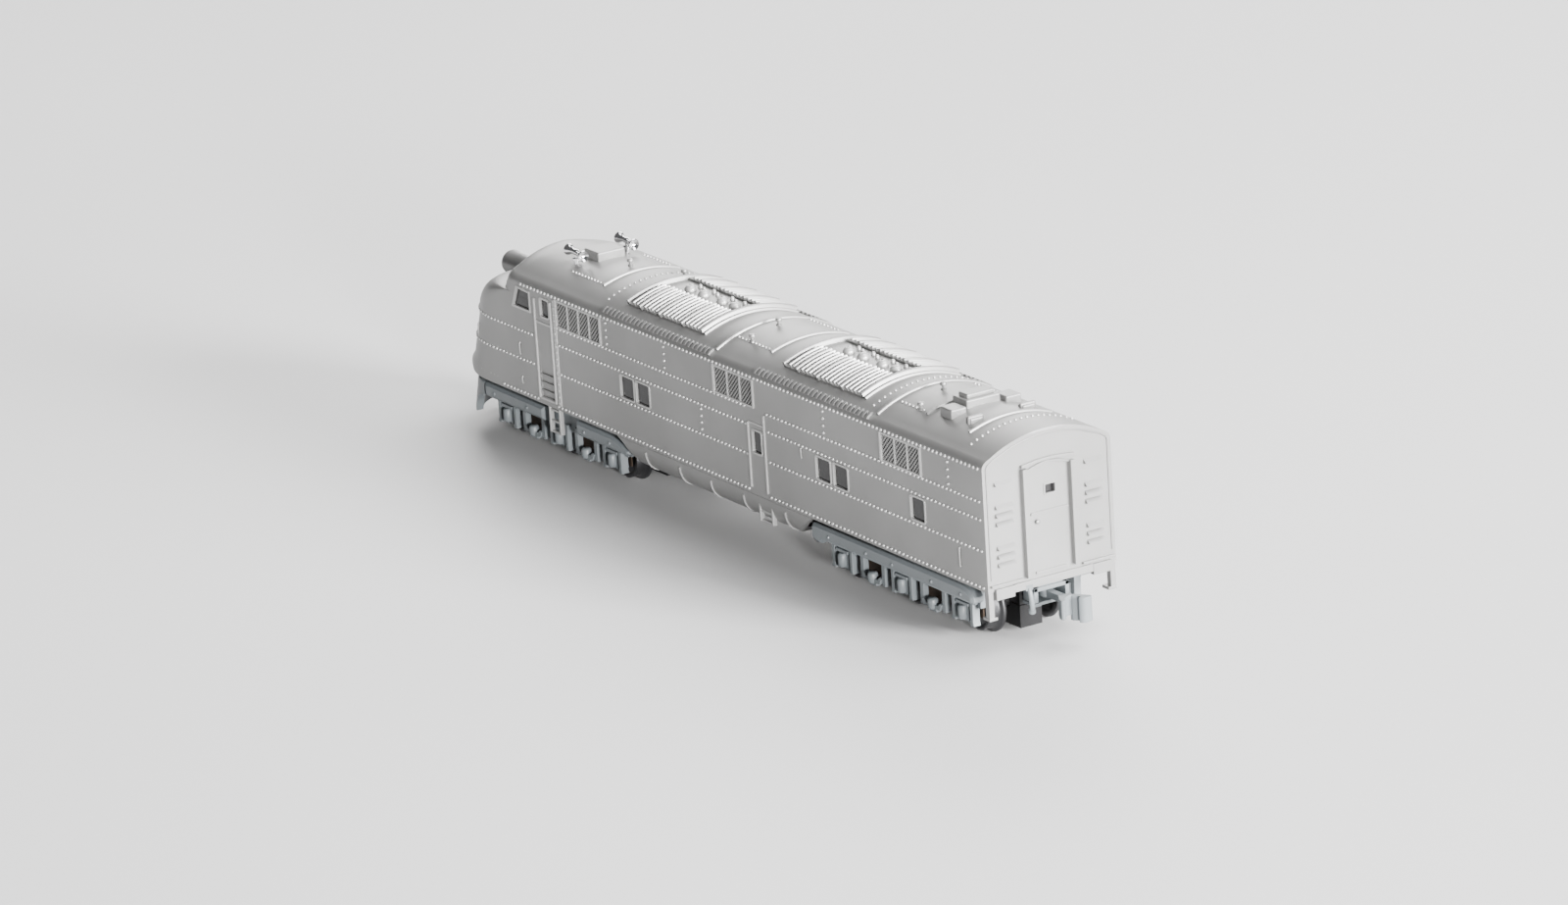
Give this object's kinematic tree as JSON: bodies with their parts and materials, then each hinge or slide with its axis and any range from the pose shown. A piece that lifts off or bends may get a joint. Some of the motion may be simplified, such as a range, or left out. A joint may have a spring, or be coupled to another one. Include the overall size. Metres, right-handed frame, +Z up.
{
  "type": "model passenger locomotive",
  "caption": "Small-scale slant-nose streamlined passenger diesel: silver body shell on a motorised chassis with two swivelling three-axle trucks and a rear knuckle coupler.",
  "frame": {"origin": "middle of the overall length and width, level with the lowest point of the wheel flanges", "axes": "+X towards the nose, +Y towards the left side, +Z up"},
  "size_m": [0.1354, 0.0194, 0.029],
  "materials": {
    "silver_shell": "satin silver paint over moulded plastic",
    "clear_glazing": "clear moulding over a dark interior",
    "horn_plating": "bright plated",
    "cast_frame": "bare zinc die casting",
    "plain_steel": "turned and pressed steel",
    "wheel_steel": "blackened steel with bright treads",
    "grey_plastic": "blue-grey moulded plastic",
    "white_acetal": "natural acetal",
    "dark_nylon": "black nylon",
    "turned_brass": "turned brass and phosphor bronze strip",
    "board_laminate": "green laminate"
  },
  "bodies": {
    "chassis": {"body_shell": "silver_shell", "cab_glazing": "clear_glazing", "side_glazing_left": "clear_glazing", "side_glazing_right": "clear_glazing", "rear_door_glazing": "clear_glazing", "headlight_lens": "clear_glazing", "light_pipe": "clear_glazing", "horn_left": "horn_plating", "horn_right": "horn_plating", "skirt_tray": "silver_shell", "frame_left": "cast_frame", "frame_right": "cast_frame", "frame_screw_front": "plain_steel", "frame_screw_rear": "plain_steel", "motor_can": "plain_steel", "brush_plate": "grey_plastic", "motor_cradle": "white_acetal", "worm_carrier_front": "white_acetal", "worm_carrier_rear": "white_acetal", "coupler_pocket": "grey_plastic", "coupler_lid": "grey_plastic", "circuit_board": "board_laminate", "headlight_led": "clear_glazing"},
    "rotor": {"armature": "plain_steel", "flywheel_front": "turned_brass", "flywheel_rear": "turned_brass", "driveshaft_front": "plain_steel", "driveshaft_rear": "plain_steel", "worm_front": "turned_brass", "worm_rear": "turned_brass"},
    "front_truck": {"truck_frame_front": "grey_plastic", "gear_housing_front": "dark_nylon", "gear_lid_front": "dark_nylon", "contact_front_left": "turned_brass", "contact_front_right": "turned_brass", "front_pilot": "grey_plastic"},
    "front_tower": {"tower_gear_front": "turned_brass"},
    "front_idler_a": {"idler_front_a": "white_acetal"},
    "front_idler_b": {"idler_front_b": "white_acetal"},
    "front_axle_1": {"wheelset_front_1": "wheel_steel", "axle_gear_front_a": "white_acetal"},
    "front_axle_2": {"wheelset_front_2": "wheel_steel"},
    "front_axle_3": {"wheelset_front_3": "wheel_steel", "axle_gear_front_b": "white_acetal"},
    "rear_truck": {"truck_frame_rear": "grey_plastic", "gear_housing_rear": "dark_nylon", "gear_lid_rear": "dark_nylon", "contact_rear_left": "turned_brass", "contact_rear_right": "turned_brass"},
    "rear_tower": {"tower_gear_rear": "turned_brass"},
    "rear_idler_a": {"idler_rear_a": "white_acetal"},
    "rear_idler_b": {"idler_rear_b": "white_acetal"},
    "rear_axle_1": {"wheelset_rear_1": "wheel_steel", "axle_gear_rear_a": "white_acetal"},
    "rear_axle_2": {"wheelset_rear_2": "wheel_steel"},
    "rear_axle_3": {"wheelset_rear_3": "wheel_steel", "axle_gear_rear_b": "white_acetal"},
    "coupler": {"rear_coupler": "grey_plastic"}
  },
  "joints": [
    {"name": "motor_spin", "type": "hinge", "parent": "chassis", "child": "rotor", "pos_m": [0, 0, 0.01425], "axis": [1, 0, 0], "continuous": true},
    {"name": "front_truck_swivel", "type": "hinge", "parent": "chassis", "child": "front_truck", "pos_m": [0.04095, 0, 0.0077], "axis": [0, 0, 1], "range_deg": [-9, 9]},
    {"name": "front_tower_spin", "type": "hinge", "parent": "front_truck", "child": "front_tower", "pos_m": [0.04095, 0, 0.00865], "axis": [0, 1, 0], "continuous": true},
    {"name": "front_idler_a_spin", "type": "hinge", "parent": "front_truck", "child": "front_idler_a", "pos_m": [0.04855, 0, 0.00616], "axis": [0, 1, 0], "continuous": true},
    {"name": "front_idler_b_spin", "type": "hinge", "parent": "front_truck", "child": "front_idler_b", "pos_m": [0.03335, 0, 0.00616], "axis": [0, 1, 0], "continuous": true},
    {"name": "front_axle_1_spin", "type": "hinge", "parent": "front_truck", "child": "front_axle_1", "pos_m": [0.05435, 0, 0.00345], "axis": [0, 1, 0], "continuous": true},
    {"name": "front_axle_2_spin", "type": "hinge", "parent": "front_truck", "child": "front_axle_2", "pos_m": [0.04095, 0, 0.00345], "axis": [0, 1, 0], "continuous": true},
    {"name": "front_axle_3_spin", "type": "hinge", "parent": "front_truck", "child": "front_axle_3", "pos_m": [0.02755, 0, 0.00345], "axis": [0, 1, 0], "continuous": true},
    {"name": "rear_truck_swivel", "type": "hinge", "parent": "chassis", "child": "rear_truck", "pos_m": [-0.04095, 0, 0.0077], "axis": [0, 0, 1], "range_deg": [-9, 9]},
    {"name": "rear_tower_spin", "type": "hinge", "parent": "rear_truck", "child": "rear_tower", "pos_m": [-0.04095, 0, 0.00865], "axis": [0, 1, 0], "continuous": true},
    {"name": "rear_idler_a_spin", "type": "hinge", "parent": "rear_truck", "child": "rear_idler_a", "pos_m": [-0.03335, 0, 0.00616], "axis": [0, 1, 0], "continuous": true},
    {"name": "rear_idler_b_spin", "type": "hinge", "parent": "rear_truck", "child": "rear_idler_b", "pos_m": [-0.04855, 0, 0.00616], "axis": [0, 1, 0], "continuous": true},
    {"name": "rear_axle_1_spin", "type": "hinge", "parent": "rear_truck", "child": "rear_axle_1", "pos_m": [-0.02755, 0, 0.00345], "axis": [0, 1, 0], "continuous": true},
    {"name": "rear_axle_2_spin", "type": "hinge", "parent": "rear_truck", "child": "rear_axle_2", "pos_m": [-0.04095, 0, 0.00345], "axis": [0, 1, 0], "continuous": true},
    {"name": "rear_axle_3_spin", "type": "hinge", "parent": "rear_truck", "child": "rear_axle_3", "pos_m": [-0.05435, 0, 0.00345], "axis": [0, 1, 0], "continuous": true},
    {"name": "coupler_swing", "type": "hinge", "parent": "chassis", "child": "coupler", "pos_m": [-0.0609, 0, 0.0058], "axis": [0, 0, 1], "range_deg": [-15, 15]}
  ],
  "couplings": [
    {"joint": "front_tower_spin", "follows": "motor_spin", "ratio": -0.055556},
    {"joint": "front_idler_a_spin", "follows": "motor_spin", "ratio": 0.045455},
    {"joint": "front_idler_b_spin", "follows": "motor_spin", "ratio": 0.045455},
    {"joint": "front_axle_1_spin", "follows": "motor_spin", "ratio": -0.1},
    {"joint": "front_axle_3_spin", "follows": "motor_spin", "ratio": -0.1},
    {"joint": "rear_tower_spin", "follows": "motor_spin", "ratio": -0.055556},
    {"joint": "rear_idler_a_spin", "follows": "motor_spin", "ratio": 0.045455},
    {"joint": "rear_idler_b_spin", "follows": "motor_spin", "ratio": 0.045455},
    {"joint": "rear_axle_1_spin", "follows": "motor_spin", "ratio": -0.1},
    {"joint": "rear_axle_3_spin", "follows": "motor_spin", "ratio": -0.1}
  ]
}
